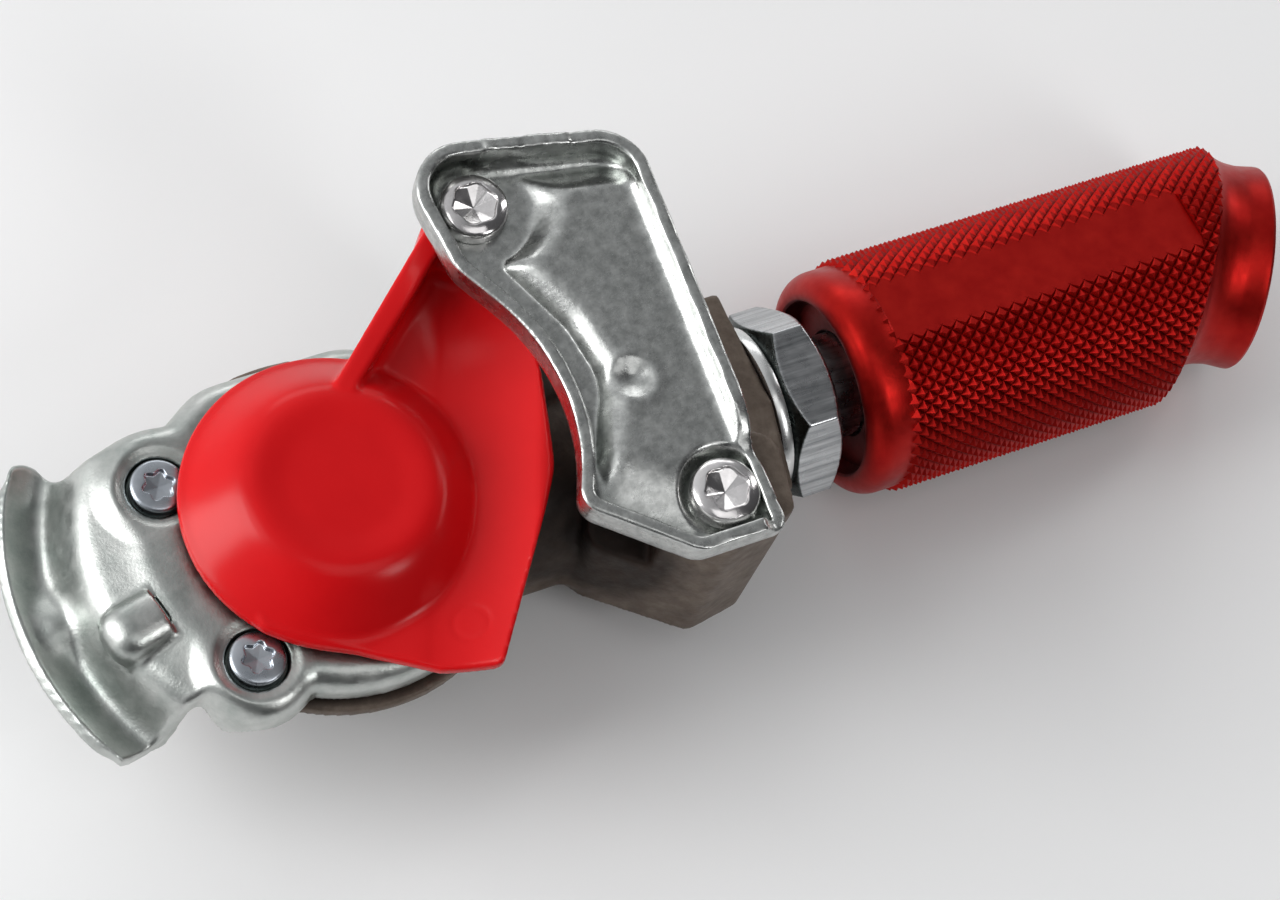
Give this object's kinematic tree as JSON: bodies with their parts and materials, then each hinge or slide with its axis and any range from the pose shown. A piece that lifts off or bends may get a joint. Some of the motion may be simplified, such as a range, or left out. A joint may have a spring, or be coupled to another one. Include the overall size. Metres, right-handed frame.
{
  "type": "gladhand air brake coupler",
  "caption": "Palm-type air brake coupling head with stamped guide plates, a swivelling red dust cover, a threaded port with lock nut, and a red knurled grip with a bent hose port.",
  "frame": {"origin": "centre of the seal, on the plane where two coupling heads meet", "axes": "+Z out of the coupling face, +X towards the grip and its hose port, +Y towards the cover's pivot"},
  "size_m": [0.2084, 0.0704, 0.0567],
  "materials": {
    "casting": "matt brown-olive casting",
    "zinc_sheet": "bright zinc plated pressing",
    "bolt_steel": "grey-blue zinc plate",
    "bright_screw": "polished screw",
    "bright_zinc": "turned and zinc plated",
    "red_plastic": "glossy moulded plastic",
    "black_rubber": "moulded rubber",
    "red_anodised": "red anodised, knurled"
  },
  "bodies": {
    "head": {"casting": "casting", "front_guide_plate": "zinc_sheet", "front_screw_upper": "bolt_steel", "front_screw_lower": "bolt_steel", "rear_guide_plate": "zinc_sheet", "pivot_screw": "bright_screw", "rear_screw": "bright_screw", "pivot_bush": "bright_zinc", "coupling_seal": "black_rubber", "sealing_washer": "bright_zinc", "lock_nut": "bright_zinc", "threaded_nipple": "bright_zinc", "grip": "red_anodised"},
    "cover": {"dust_cover": "red_plastic"}
  },
  "joints": [
    {"name": "cover_swivel", "type": "hinge", "parent": "head", "child": "cover", "pos_m": [0.031, 0.0304, 0.005], "axis": [0, 0, -1], "range_deg": [0, 95]}
  ]
}
